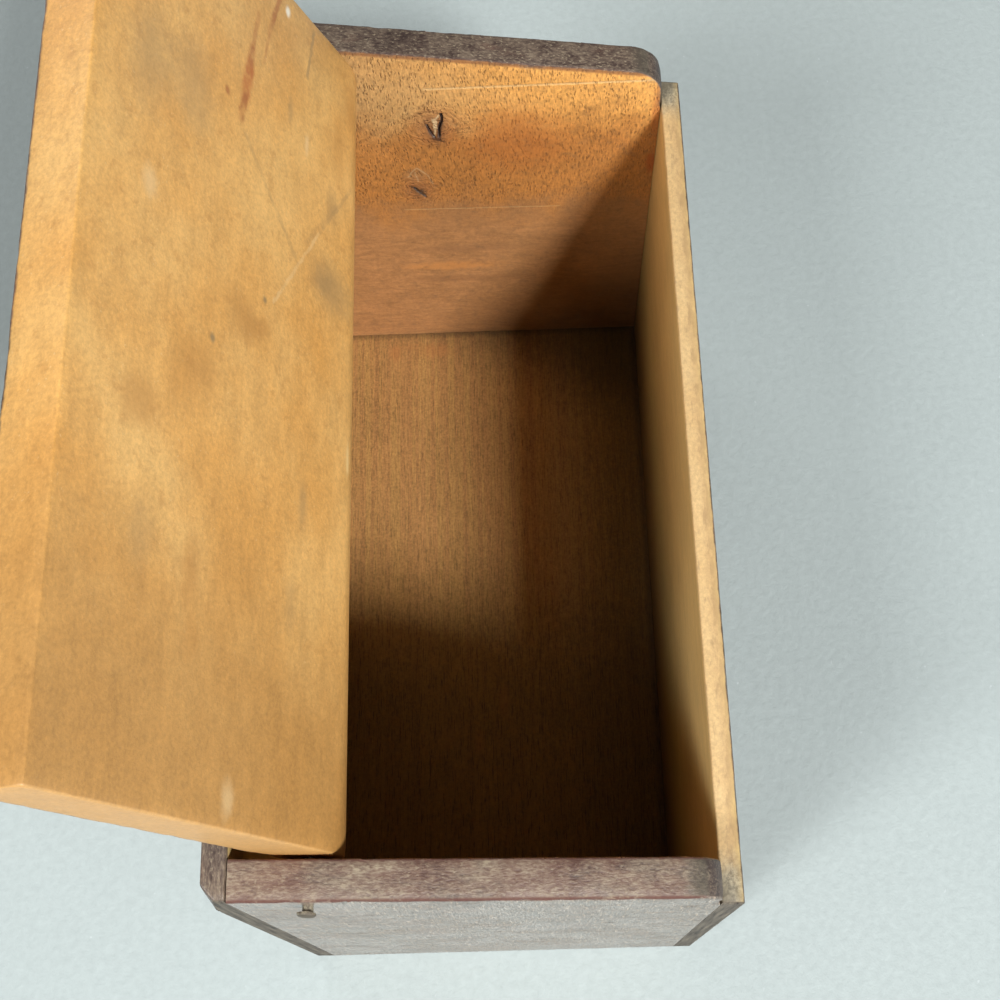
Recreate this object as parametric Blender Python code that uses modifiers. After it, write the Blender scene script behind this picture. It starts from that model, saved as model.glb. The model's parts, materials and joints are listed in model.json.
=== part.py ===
"""A slant-top wooden recipe box with a one-board lid that turns on two nails.

Metres, +Z up. X runs along the box, the front wall faces -Y, and the origin is the centre of the
underside. The two long walls lap the edges of the two end boards and are bradded to them, the bottom
board is let in between all four, and the lid stands open, held by the grip of its nails.
"""

import math

import bmesh
import bpy
from mathutils import Matrix, Vector

MM = 0.001

# The room inside, which takes cards five inches wide
INSIDE_LENGTH = 134.0 * MM
INSIDE_WIDTH = 68.7 * MM

# The boards
END_THICKNESS = 5.9 * MM
FRONT_THICKNESS = 3.7 * MM
BACK_THICKNESS = 3.6 * MM
BOTTOM_THICKNESS = 3.2 * MM
BACK_HEIGHT = 108.7 * MM
SLANT = math.radians(9.8)
END_CORNER_RADIUS = 5.5 * MM
BACK_CORNER_RADIUS = 1.3 * MM
EDGE_WEAR = 0.35 * MM
JOINT_GAP = 0.3 * MM

# The lid, which turns on nails near its rounded back edge
LID_THICKNESS = 8.7 * MM
LID_END_CLEARANCE = 0.6 * MM
LID_BACK_CLEARANCE = 1.6 * MM
LID_BACK_ROUND = 8.1 * MM
LID_EDGE_WEAR = 0.45 * MM
PIVOT_INSET = 10.2 * MM
LID_OPENED = math.radians(122.1)

# The hinge nails, whose heads stand off the end boards
NAIL_RADIUS = 0.9 * MM
NAIL_LENGTH = 25.0 * MM
NAIL_POINT = 3.0 * MM
NAIL_HEAD_RADIUS = 1.5 * MM
NAIL_HEAD_THICKNESS = 1.0 * MM
NAIL_STANDOFF = 0.9 * MM

# The brads, whose heads are punched a little below the wood
BRAD_RADIUS = 0.45 * MM
BRAD_LENGTH = 15.0 * MM
BRAD_POINT = 1.5 * MM
BRAD_HEAD_RADIUS = 0.75 * MM
BRAD_HEAD_THICKNESS = 0.5 * MM
BRAD_SINK = 0.15 * MM
BRAD_CORNER_INSET = 12.0 * MM
BRAD_BOTTOM_INSET = 24.0 * MM
CORNER_BRAD_COUNT = 3
BOTTOM_BRAD_COUNT = 3

# How far every cutter runs past what it cuts
OVERRUN = 2.0 * MM

# How finely round shapes are cut into facets
EDGE_SEGMENTS = 2
CORNER_SEGMENTS = 8
LID_ROUND_SEGMENTS = 12
BACK_CORNER_SEGMENTS = 3
NAIL_SIDES = 24
BRAD_SIDES = 12
SHARP_ANGLE = math.radians(35)
MERGE_DISTANCE = 0.01 * MM

# Worked out from the sizes above
half_inside = INSIDE_LENGTH / 2
half_outside = half_inside + END_THICKNESS
outer_width = FRONT_THICKNESS + INSIDE_WIDTH + BACK_THICKNESS
front_outer = -outer_width / 2
front_inner = front_outer + FRONT_THICKNESS
back_outer = outer_width / 2
back_inner = back_outer - BACK_THICKNESS
lid_drop = LID_THICKNESS / math.cos(SLANT)


def top_at(y):
    """Height of the slanted top plane, which the ends, the back wall and the closed lid share."""
    return BACK_HEIGHT - (back_inner - y) * math.tan(SLANT)


def seat_at(y):
    """Height of the plane that the closed lid lies on, just under its underside."""
    return top_at(y) - lid_drop - JOINT_GAP


pivot = Vector((0, back_inner - PIVOT_INSET, top_at(back_inner - PIVOT_INSET) - lid_drop / 2))


def clear_scene():
    """Removes what the opened file holds, so that the box is alone in it."""
    for obj in list(bpy.data.objects):
        bpy.data.objects.remove(obj, do_unlink=True)


def new_collection(name):
    """A collection in the scene, for the parts or for the cutters."""
    made = bpy.data.collections.new(name)
    bpy.context.scene.collection.children.link(made)
    return made


def new_material(name, colour, roughness, metallic=0.0):
    """A Principled material of one colour."""
    made = bpy.data.materials.new(name)
    made.use_nodes = True
    shader = made.node_tree.nodes["Principled BSDF"]
    shader.inputs["Base Color"].default_value = (*colour, 1.0)
    shader.inputs["Roughness"].default_value = roughness
    shader.inputs["Metallic"].default_value = metallic
    return made


def put_in(obj, collection):
    """Moves an object to one collection alone."""
    for holder in list(obj.users_collection):
        holder.objects.unlink(obj)
    collection.objects.link(obj)


def block(name, low, high, material):
    """A board between two corners, from a cube, with its place in its object's location."""
    low, high = Vector(low), Vector(high)
    bpy.ops.mesh.primitive_cube_add(size=1, location=(low + high) / 2)
    obj = bpy.context.object
    obj.name = name
    obj.data.name = name
    obj.data.transform(Matrix.Diagonal((*(high - low), 1)))
    obj.data.materials.append(material)
    put_in(obj, parts)
    return obj


def plane_top(obj, height):
    """Planes a board's top to a slant: height gives the top at a place in Y."""
    bm = bmesh.new()
    bm.from_mesh(obj.data)
    point = Vector((0, obj.location.y, height(obj.location.y))) - obj.location
    normal = Vector((0, -math.sin(SLANT), math.cos(SLANT)))
    geometry = bm.verts[:] + bm.edges[:] + bm.faces[:]
    cut = bmesh.ops.bisect_plane(bm, geom=geometry, plane_co=point, plane_no=normal, clear_outer=True)
    rim = [item for item in cut["geom_cut"] if isinstance(item, bmesh.types.BMEdge)]
    bmesh.ops.contextual_create(bm, geom=rim)
    bmesh.ops.recalc_face_normals(bm, faces=bm.faces[:])
    bm.to_mesh(obj.data)
    bm.free()


def along(direction, axis):
    """Whether an edge runs along an axis more than along the other two together."""
    return abs(getattr(direction, axis)) > sum(abs(part) for part in direction) / 2


def round_edges(obj, chosen, radius, segments):
    """Rounds the edges for which chosen(middle, direction) holds, in the object's own frame."""
    bm = bmesh.new()
    bm.from_mesh(obj.data)
    picked = []
    for edge in bm.edges:
        start, end = (vert.co for vert in edge.verts)
        if chosen((start + end) / 2, (end - start).normalized()):
            picked.append(edge)
    bmesh.ops.bevel(
        bm, geom=picked, offset=radius, segments=segments, profile=0.5, affect="EDGES", clamp_overlap=True
    )
    bm.to_mesh(obj.data)
    bm.free()


def wear_edges(obj, width):
    """Takes the sharpness off every edge of a board."""
    bevel = obj.modifiers.new("worn_edges", "BEVEL")
    bevel.width = width
    bevel.segments = EDGE_SEGMENTS
    bevel.limit_method = "ANGLE"
    bevel.angle_limit = SHARP_ANGLE


def drill(obj, tool):
    """Cuts a fastener's hole in a board."""
    cut = obj.modifiers.new("hole_" + tool.name, "BOOLEAN")
    cut.operation = "DIFFERENCE"
    cut.solver = "EXACT"
    cut.object = tool


def turned(name, profile, place, outward, sides, collection):
    """A turned solid: a profile of (radius, height) points from its top centre down to its tip."""
    mesh = bpy.data.meshes.new(name)
    points = [(radius, 0, height) for radius, height in profile]
    steps = [(index, index + 1) for index in range(len(points) - 1)]
    mesh.from_pydata(points, steps, [])
    obj = bpy.data.objects.new(name, mesh)
    collection.objects.link(obj)
    obj.location = place
    obj.rotation_mode = "QUATERNION"
    obj.rotation_quaternion = Vector(outward).to_track_quat("Z", "Y")
    screw = obj.modifiers.new("turning", "SCREW")
    screw.axis = "Z"
    screw.steps = sides
    screw.render_steps = sides
    screw.use_merge_vertices = True
    screw.merge_threshold = MERGE_DISTANCE
    return obj


def fastener(name, place, outward, radius, length, point, head_radius, head_thickness, sides):
    """A headed nail with the top of its head at place. Gives the cutter for its hole, a gap wider."""
    under_head = -head_thickness
    tip = under_head - length
    head = [(0, 0), (head_radius, 0), (head_radius, under_head)]
    shaft = [(radius, under_head), (radius, tip + point), (0, tip)]
    nail = turned(name, head + shaft, place, outward, sides, parts)
    wide, wide_head = radius + JOINT_GAP, head_radius + JOINT_GAP
    hole_end = tip - JOINT_GAP
    seat = under_head - JOINT_GAP
    mouth = [(0, OVERRUN), (wide_head, OVERRUN), (wide_head, seat)]
    bore = [(wide, seat), (wide, hole_end), (0, hole_end)]
    tool = turned(name + "_hole", mouth + bore, place, outward, sides, cutters)
    tool.hide_render = True
    tool.display_type = "WIRE"
    nail.data.materials.append(nail_steel)
    nail.parent = box_root
    return tool


def make_ends():
    """The two end boards, with the slanted top and the rounded front top corner."""
    made = {}
    for side, name in ((-1, "left_end"), (1, "right_end")):
        inner, outer = side * half_inside, side * half_outside
        low = (min(inner, outer), front_inner + JOINT_GAP, 0)
        high = (max(inner, outer), back_inner - JOINT_GAP, top_at(back_inner) + OVERRUN)
        end = block(name, low, high, stained_wood)
        plane_top(end, top_at)
        front = low[1] - end.location.y

        def front_top(middle, direction, front=front):
            return along(direction, "x") and middle.z > 0 and abs(middle.y - front) < JOINT_GAP

        round_edges(end, front_top, END_CORNER_RADIUS, CORNER_SEGMENTS)
        wear_edges(end, EDGE_WEAR)
        made[side] = end
    return made


def make_walls():
    """The front and back walls, which run the whole length and lap the ends."""
    front_high = (half_outside, front_inner, seat_at(front_inner) + OVERRUN)
    front = block("front_wall", (-half_outside, front_outer, 0), front_high, stained_wood)
    plane_top(front, seat_at)
    wear_edges(front, EDGE_WEAR)
    back_high = (half_outside, back_outer, top_at(back_outer) + OVERRUN)
    back = block("back_wall", (-half_outside, back_inner, 0), back_high, stained_wood)
    plane_top(back, top_at)

    def outer_upright(middle, direction):
        return along(direction, "z") and middle.y > 0

    round_edges(back, outer_upright, BACK_CORNER_RADIUS, BACK_CORNER_SEGMENTS)
    wear_edges(back, EDGE_WEAR)
    return {-1: front, 1: back}


def make_bottom():
    """The bottom board, let in between the four walls and flush with their lower edges."""
    return block(
        "bottom_board",
        (-half_inside + JOINT_GAP, front_inner + JOINT_GAP, 0),
        (half_inside - JOINT_GAP, back_inner - JOINT_GAP, BOTTOM_THICKNESS),
        bottom_wood,
    )


def make_lid():
    """The lid, on an empty at the nails' axis that holds it open."""
    hinge = bpy.data.objects.new("lid_pivot", None)
    parts.objects.link(hinge)
    hinge.location = pivot
    hinge.rotation_euler.x = SLANT - LID_OPENED
    hinge.parent = box_root
    half_length = half_inside - LID_END_CLEARANCE
    reach = (pivot.y - front_outer) / math.cos(SLANT)
    behind = PIVOT_INSET - LID_BACK_CLEARANCE
    lid = block(
        "lid", (-half_length, -reach, -LID_THICKNESS / 2), (half_length, behind, LID_THICKNESS / 2), lid_wood
    )

    def under_back(middle, direction):
        return along(direction, "x") and middle.y > 0 and middle.z < 0

    round_edges(lid, under_back, min(LID_BACK_ROUND, LID_THICKNESS - LID_EDGE_WEAR), LID_ROUND_SEGMENTS)
    wear_edges(lid, LID_EDGE_WEAR)
    lid.data.transform(Matrix.Translation(lid.location))
    lid.location = (0, 0, 0)
    lid.parent = hinge
    return lid


def add_hinge_nails(ends, lid):
    """One nail through each end board and into the end of the lid, on the lid's axis."""
    for side, name in ((-1, "left_hinge_nail"), (1, "right_hinge_nail")):
        head_top = half_outside + NAIL_STANDOFF + NAIL_HEAD_THICKNESS
        place = (side * head_top, pivot.y, pivot.z)
        tool = fastener(
            name, place, (side, 0, 0), NAIL_RADIUS, NAIL_LENGTH, NAIL_POINT,
            NAIL_HEAD_RADIUS, NAIL_HEAD_THICKNESS, NAIL_SIDES,
        )
        drill(ends[side], tool)
        drill(lid, tool)


def brad(name, place, outward):
    """One brad, punched a little below the face at place. Gives its hole's cutter."""
    sunk = Vector(place) - Vector(outward) * BRAD_SINK
    return fastener(
        name, sunk, outward, BRAD_RADIUS, BRAD_LENGTH, BRAD_POINT,
        BRAD_HEAD_RADIUS, BRAD_HEAD_THICKNESS, BRAD_SIDES,
    )


def spread(low, high, count):
    """Places evenly spaced from low to high, both taken."""
    return [low + (high - low) * index / max(count - 1, 1) for index in range(count)]


def add_corner_brads(walls, ends):
    """Brads through each long wall into the edge of each end board."""
    for facing, wall_name in ((-1, "front"), (1, "back")):
        face = facing * back_outer
        wall_top = seat_at(front_outer) if facing < 0 else top_at(back_inner)
        for side, end_name in ((-1, "left"), (1, "right")):
            middle = side * (half_inside + END_THICKNESS / 2)
            heights = spread(BRAD_CORNER_INSET, wall_top - BRAD_CORNER_INSET, CORNER_BRAD_COUNT)
            for number, height in enumerate(heights, start=1):
                name = f"{wall_name}_{end_name}_brad_{number}"
                tool = brad(name, (middle, face, height), (0, facing, 0))
                drill(walls[facing], tool)
                drill(ends[side], tool)


def add_bottom_brads(walls, bottom):
    """Brads through each long wall into the edge of the bottom board."""
    for facing, wall_name in ((-1, "front"), (1, "back")):
        face = facing * back_outer
        edge = half_inside - BRAD_BOTTOM_INSET
        for number, across in enumerate(spread(-edge, edge, BOTTOM_BRAD_COUNT), start=1):
            name = f"bottom_{wall_name}_brad_{number}"
            tool = brad(name, (across, face, BOTTOM_THICKNESS / 2), (0, facing, 0))
            drill(walls[facing], tool)
            drill(bottom, tool)


def shade(obj):
    """Shades the round faces smooth and keeps the board's edges crisp."""
    obj.data.shade_smooth()
    obj.data.set_sharp_from_angle(angle=SHARP_ANGLE)


clear_scene()
parts = new_collection("recipe_box")
cutters = new_collection("cutters")
stained_wood = new_material("stained_wood", (0.13, 0.085, 0.070), 0.62)
lid_wood = new_material("lid_wood", (0.52, 0.30, 0.11), 0.50)
bottom_wood = new_material("bottom_wood", (0.28, 0.14, 0.055), 0.60)
nail_steel = new_material("nail_steel", (0.16, 0.14, 0.11), 0.45, 0.9)

box_root = bpy.data.objects.new("box_root", None)
parts.objects.link(box_root)

end_boards = make_ends()
long_walls = make_walls()
bottom_board = make_bottom()
lid_board = make_lid()
for board in (*end_boards.values(), *long_walls.values(), bottom_board):
    board.parent = box_root
add_hinge_nails(end_boards, lid_board)
add_corner_brads(long_walls, end_boards)
add_bottom_brads(long_walls, bottom_board)
for part in parts.objects:
    if part.type == "MESH":
        shade(part)
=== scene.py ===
"""The looks of a worn, slant-top wooden recipe box, built around its fixed frame.

Metres, +Z up. X runs along the box, the front wall faces -Y, and the origin is the centre of the
underside. Every board is drawn again with worn edges and its own wood: dark stain outside, bare inside.
"""

import json
import math

import bmesh
import bpy
from bpy.props import FloatProperty, FloatVectorProperty, PointerProperty
from mathutils import Matrix, Vector

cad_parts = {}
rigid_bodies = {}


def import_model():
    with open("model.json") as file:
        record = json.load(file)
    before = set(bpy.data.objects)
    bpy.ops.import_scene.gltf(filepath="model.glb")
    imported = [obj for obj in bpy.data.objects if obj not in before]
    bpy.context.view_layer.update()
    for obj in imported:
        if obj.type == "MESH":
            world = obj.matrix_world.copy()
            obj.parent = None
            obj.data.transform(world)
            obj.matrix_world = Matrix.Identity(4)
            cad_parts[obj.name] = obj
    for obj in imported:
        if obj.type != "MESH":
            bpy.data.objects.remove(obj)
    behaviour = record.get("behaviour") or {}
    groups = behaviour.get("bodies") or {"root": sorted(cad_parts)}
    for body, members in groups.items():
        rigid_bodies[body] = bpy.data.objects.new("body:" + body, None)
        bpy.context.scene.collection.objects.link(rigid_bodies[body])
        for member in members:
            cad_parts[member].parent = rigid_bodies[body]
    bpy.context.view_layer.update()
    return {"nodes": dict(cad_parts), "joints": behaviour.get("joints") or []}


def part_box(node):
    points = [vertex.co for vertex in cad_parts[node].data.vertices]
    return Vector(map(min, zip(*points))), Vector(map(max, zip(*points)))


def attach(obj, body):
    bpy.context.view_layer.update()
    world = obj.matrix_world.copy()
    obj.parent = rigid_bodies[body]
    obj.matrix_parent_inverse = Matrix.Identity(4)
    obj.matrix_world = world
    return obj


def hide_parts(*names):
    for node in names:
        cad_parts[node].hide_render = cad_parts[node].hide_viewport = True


bl_info = {
    "name": "Slant-top recipe box",
    "version": (1, 0, 0),
    "blender": (4, 5, 0),
    "location": "3D View > Sidebar > Recipe Box",
    "description": "Models and finishes a worn wooden recipe box around its fixed frame",
    "category": "Object",
}

for leftover in list(bpy.data.objects):
    bpy.data.objects.remove(leftover)
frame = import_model()

MM = 0.001
AXES = (Vector((1, 0, 0)), Vector((0, 1, 0)), Vector((0, 0, 1)))

left_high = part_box("left_end")[1]
right_low, right_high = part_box("right_end")
front_low, front_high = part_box("front_wall")
back_low, back_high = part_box("back_wall")
floor_low, floor_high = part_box("bottom_board")
lid_low, lid_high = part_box("lid")
hinge = frame["joints"][0]
pivot = Vector(hinge["pos_m"])
lid_opened = math.radians(-hinge["range_deg"][0])
inner_x, outer_x = right_low.x / MM, right_high.x / MM

# How much of a direction has to lie along an axis before it counts as running along it.
ALIGNED_SHARE = 0.9
# An edge above this share of the box's height belongs to its top.
TOP_SHARE = 0.6
SAW_MERGE = 0.001 * MM
SHARP_ANGLE = math.radians(35)
BENT_ANGLE = math.radians(8)
SMOOTH_ANGLE = math.radians(32)


# Places and colours of the wood's own marks, and of the shade painted onto some faces. Lengths are in mm.
# On an end board a place is (y, z), on the floor (x, y), on the lid (x, distance from the hinge nails).

BACK_CHIP = (2.4, 2.2, 12.5)
KNOT_RADII = {(6.9, 84.2): 3.3, (11.7, 63.6): 2.5}
KNOT_CRACKS = (
    (((8.4, 84.6), (7.9, 82.2), (7.3, 80.8)), 0.20, 0.6),
    (((5.6, 87.8), (5.5, 86.0), (6.2, 83.7), (6.4, 80.8)), 0.20, 0.8),
    (((12.4, 64.4), (11.8, 62.9), (10.5, 61.2)), 0.22, 0.7),
)
# Each crack is pushed in twice, the second time narrower: shares of its depth and width.
CRACK_SHARES = ((0.4, 1.0), (0.6, 0.55))
CRACK_REACH = 1.5
KNOT_WIDTH_SHARE = 1.3
KNOT_HEIGHT_SHARE = 1.9
KNOT_RING = 1.25
KNOT_HALO = (0.350, 0.140, 0.052)
KNOT_BROWN = (0.220, 0.095, 0.030)
KNOT_DARK = (0.050, 0.019, 0.007)
KNOT_PALE = (0.580, 0.410, 0.220)
KNOT_LINES = (
    ((10.6, 87.6), (8.7, 88.9), 0.65, KNOT_BROWN, 0.50),
    ((8.7, 88.9), (6.6, 88.6), 0.50, KNOT_BROWN, 0.50),
    ((3.2, 86.0), (3.0, 82.2), 0.45, KNOT_BROWN, 0.35),
    ((8.9, 86.5), (8.1, 83.4), 0.30, KNOT_DARK, 0.60),
    ((8.0, 83.4), (7.2, 80.8), 0.55, KNOT_DARK, 0.75),
    ((7.6, 80.8), (6.2, 79.7), 0.70, KNOT_DARK, 0.85),
    ((6.6, 79.9), (5.4, 79.4), 0.45, KNOT_DARK, 0.75),
    ((5.7, 88.2), (5.4, 86.4), 0.36, KNOT_DARK, 0.85),
    ((5.4, 86.8), (6.1, 84.2), 0.42, KNOT_DARK, 0.85),
    ((6.0, 84.4), (6.4, 80.6), 0.48, KNOT_DARK, 0.80),
    ((6.0, 87.6), (6.6, 86.4), 0.30, KNOT_PALE, 1.00),
    ((6.9, 86.5), (6.9, 83.5), 0.55, KNOT_PALE, 1.00),
    ((7.0, 83.6), (7.1, 81.3), 0.22, KNOT_PALE, 0.90),
    ((13.2, 65.4), (11.8, 64.2), 0.45, KNOT_DARK, 0.60),
    ((12.6, 64.4), (11.0, 62.2), 1.15, KNOT_BROWN, 0.75),
    ((12.4, 64.6), (11.0, 62.2), 0.70, KNOT_DARK, 0.70),
    ((11.3, 63.6), (10.2, 60.8), 0.42, KNOT_DARK, 0.70),
    ((13.4, 68.0), (11.4, 71.2), 0.24, KNOT_PALE, 0.45),
    ((11.4, 71.2), (9.7, 68.8), 0.24, KNOT_PALE, 0.50),
    ((11.9, 69.8), (11.4, 66.4), 0.22, KNOT_PALE, 0.40),
    ((9.6, 68.9), (8.6, 65.6), 0.24, KNOT_PALE, 0.35),
)
END_LOWER = (0.420, 0.203, 0.076)
END_UPPER_BACK = (0.504, 0.287, 0.104)
END_UPPER_FRONT = (0.637, 0.315, 0.081)
END_PORE = (0.154, 0.066, 0.021)
END_RIM = (0.210, 0.084, 0.027)
END_MARKS = (
    ((-8.0, 79.0), (9.0, 9.0), (0.462, 0.140, 0.028), 0.40),
    # These two dark blots over the knots: dark knot wood with painted shade in its hollows.
    ((6.9, 83.2), (1.8, 4.2), (0.120, 0.048, 0.020), 0.50),
    ((11.5, 62.9), (1.4, 2.6), (0.150, 0.065, 0.026), 0.45),
    ((11.6, 68.8), (2.4, 1.9), (0.330, 0.190, 0.090), 0.35),
    ((6.5, 34.0), (9.0, 1.5), (0.630, 0.266, 0.070), 0.55),
    ((3.0, 41.0), (11.0, 1.3), (0.294, 0.140, 0.059), 0.45),
    ((4.0, 28.5), (12.0, 1.2), (0.308, 0.140, 0.056), 0.40),
    ((-33.6, 70.3), (0.9, 3.4), (0.350, 0.077, 0.017), 0.75),
    ((-33.8, 86.0), (0.9, 9.0), (0.385, 0.105, 0.025), 0.55),
)
END_SCRATCHES = (
    ((8.3, 95.3), (-32.8, 95.4), 0.40, 0.55),
    ((15.1, 56.7), (-16.3, 56.1), 0.22, 0.35),
)
SCRATCH_PALE = (0.686, 0.476, 0.224)
END_WEAR_NEAR = 0.20
END_WEAR_FAR = 0.09
STAIN_ARRIS = (0.080, 0.026, 0.018)
STAIN_WARM = (0.164, 0.084, 0.057)
STAIN_GREEN = (0.078, 0.068, 0.050)
# Pale grey of the dust streaks and of the painted sheen on the ends' outer faces.
STAIN_DUST_AND_SHEEN = (0.434, 0.343, 0.252)
WALL_TOP = (0.574, 0.413, 0.206)
WALL_TOP_WARM = (0.511, 0.322, 0.136)
WALL_TOP_DARK = (0.238, 0.154, 0.077)
WALL_TOP_BROWN = (0.360, 0.215, 0.095)
WALL_END = (0.430, 0.370, 0.250)
WALL_END_DARK = (0.140, 0.119, 0.081)
# Painted shade on the front wall's inner face: its lowest and its middle heights.
WALL_LOW_SHADE = (0.098, 0.059, 0.020)
WALL_MID_SHADE = (0.301, 0.238, 0.098)
FLOOR_GOLD = (0.294, 0.158, 0.046)
# Olive tint of the painted shadows on the floor.
FLOOR_SHADE_OLIVE = (0.285, 0.168, 0.028)
FLOOR_PORE = (0.091, 0.043, 0.011)
FLOOR_RED = (0.420, 0.154, 0.042)
FLOOR_EDGE_X = (65.0, 66.8)
FLOOR_EDGE_Y = (32.2, 34.0)
FLOOR_MARKS = (
    ((62.0, 22.0), (1.8, 1.2), FLOOR_RED, 0.35),
    ((62.2, 12.5), (1.5, 3.2), FLOOR_RED, 0.28),
    ((63.5, 17.0), (1.0, 4.5), FLOOR_RED, 0.15),
    ((-22.0, -1.5), (3.0, 1.0), FLOOR_RED, 0.15),
    ((-30.6, 4.0), (2.5, 0.9), FLOOR_RED, 0.15),
)
LID_PALE = (0.600, 0.362, 0.125)
# Painted shade at the lid's near end.
LID_NEAR_SHADE = (0.350, 0.175, 0.046)
LID_END = (0.560, 0.350, 0.140)
LID_GREY = (0.252, 0.164, 0.073)
LID_BROWN = (0.350, 0.161, 0.038)
LID_RED = (0.270, 0.075, 0.018)
LID_DUST = (0.686, 0.490, 0.252)
LID_MARKS = (
    ((31.5, 51.8), (7.5, 4.0), LID_GREY, 0.40),
    ((33.5, 42.5), (6.5, 4.5), LID_GREY, 0.38),
    ((20.0, 4.6), (3.8, 5.4), LID_GREY, 0.50),
    ((20.6, 6.6), (2.2, 2.6), LID_GREY, 0.30),
    ((57.0, -1.0), (4.0, 1.6), LID_BROWN, 0.45),
    ((46.0, 3.0), (6.0, 1.8), LID_BROWN, 0.32),
    ((35.0, 4.7), (3.0, 1.6), LID_GREY, 0.38),
    ((45.1, 17.8), (1.9, 0.7), LID_GREY, 0.45),
    ((4.2, 28.2), (3.4, 3.2), LID_BROWN, 0.38),
    ((3.0, 25.8), (2.0, 2.2), LID_BROWN, 0.40),
    ((4.8, 22.8), (1.5, 1.6), LID_BROWN, 0.45),
    ((-7.5, 37.0), (3.2, 3.2), LID_BROWN, 0.36),
    ((-11.0, 40.5), (4.5, 3.5), LID_BROWN, 0.25),
    ((-17.7, 49.3), (3.2, 3.8), LID_BROWN, 0.50),
    ((-18.2, 11.2), (3.2, 1.1), LID_GREY, 0.45),
    ((-34.0, 13.6), (3.6, 1.2), LID_GREY, 0.25),
    ((-36.0, 37.0), (4.5, 1.8), LID_BROWN, 0.50),
    ((-44.4, 36.3), (3.0, 1.6), LID_BROWN, 0.30),
    ((-33.5, 47.2), (4.0, 2.0), LID_GREY, 0.30),
    ((37.5, 34.5), (0.7, 0.5), LID_RED, 0.70),
    ((-2.5, 34.9), (0.6, 0.5), LID_GREY, 0.90),
    ((9.2, 22.8), (0.5, 0.45), LID_GREY, 0.90),
    ((13.0, 50.1), (2.0, 1.4), LID_DUST, 0.45),
    ((41.7, 12.8), (1.6, 0.5), LID_DUST, 0.55),
    ((-62.6, 26.9), (2.2, 1.2), LID_DUST, 0.45),
    ((62.6, 19.5), (0.9, 0.6), (0.700, 0.651, 0.532), 0.90),
    ((-6.8, -1.6), (2.4, 0.5), (0.700, 0.518, 0.238), 0.70),
)
LID_STREAKS = (
    ((64.0, 21.7), (55.3, 24.4), 0.80, LID_RED, 0.60),
    ((55.3, 24.4), (48.3, 25.7), 0.50, LID_RED, 0.40),
    ((56.5, 27.4), (48.6, 28.7), 0.75, LID_RED, 0.65),
    ((49.5, 28.6), (43.5, 29.4), 1.25, LID_RED, 0.70),
    ((46.0, 29.1), (39.0, 30.1), 1.70, (0.385, 0.112, 0.024), 0.75),
    ((40.5, 29.8), (34.9, 31.0), 1.10, LID_RED, 0.70),
    ((64.5, 11.5), (54.1, 13.3), 0.50, LID_GREY, 0.60),
    ((33.5, 29.8), (20.0, 15.0), 0.60, LID_GREY, 0.30),
    ((41.7, -1.3), (28.0, 8.5), 0.55, LID_GREY, 0.40),
    ((28.0, 8.5), (9.8, 20.7), 0.40, LID_DUST, 0.40),
    ((36.0, 3.5), (24.0, 12.5), 0.70, LID_GREY, 0.25),
)
COAT_ROUGHNESS = 0.16
STEEL = (0.280, 0.245, 0.175)
BRAD_STEEL = (0.049, 0.038, 0.032)
RUST = (0.085, 0.066, 0.044)
TABLE_SPECK = (0.560, 0.602, 0.609)
TABLE_SHINE = 0.2
TABLE_FADES_OUT = (380, 1100)
BACKDROP = (0.640, 0.690, 0.690)
DAYLIGHT = (0.93, 0.97, 1.0)

# Each lamp's name, the setting with its power, the way from the box towards it, and its size in metres.
LAMPS = (
    ("key_lamp", "key_power", (-0.77, -0.455, 1.0), (0.20, 0.23)),
    ("side_lamp", "side_power", (-0.65, 0.82, 1.0), (0.25, 0.50)),
    ("front_fill", "front_power", (-0.5, -0.8, 0.12), (0.7, 0.5)),
    ("back_fill", "back_power", (0.8, 0.45, 0.28), (0.8, 0.6)),
)
LAMP_DISTANCE = 1.25
CAMERA_NEAREST = 0.01

# The hinge nails' heads: shares of how far they stand out, and of the width of the step before.
NAIL_REACH_SHARE = 0.96
NAIL_WIDTH_SHARE = 0.92
NAIL_SHAFT_SHARE = 0.54
NAIL_FLARE_SHARE = 0.02
NAIL_HEAD_SHARES = ((0.13, 1.0), (0.09, 0.90), (0.06, 0.62), (0.02, 0.40))
NAIL_BEND_SHARE = 0.55
NAIL_TURN_SHARE = 0.7
NAIL_TIP_SHARE = 0.2


def length_setting(name, description, millimetres):
    """A length that can be set."""
    return FloatProperty(name=name, description=description, default=millimetres * MM, unit="LENGTH")


def angle_setting(name, description, radians):
    """An angle that can be set."""
    return FloatProperty(name=name, description=description, default=radians, subtype="ANGLE")


def power_setting(name, description, watts):
    """A lamp's power that can be set."""
    return FloatProperty(name=name, description=description, default=watts, unit="POWER")


def colour_setting(name, description, colour):
    """A colour that can be set."""
    return FloatVectorProperty(name=name, description=description, default=colour, subtype="COLOR")


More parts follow.
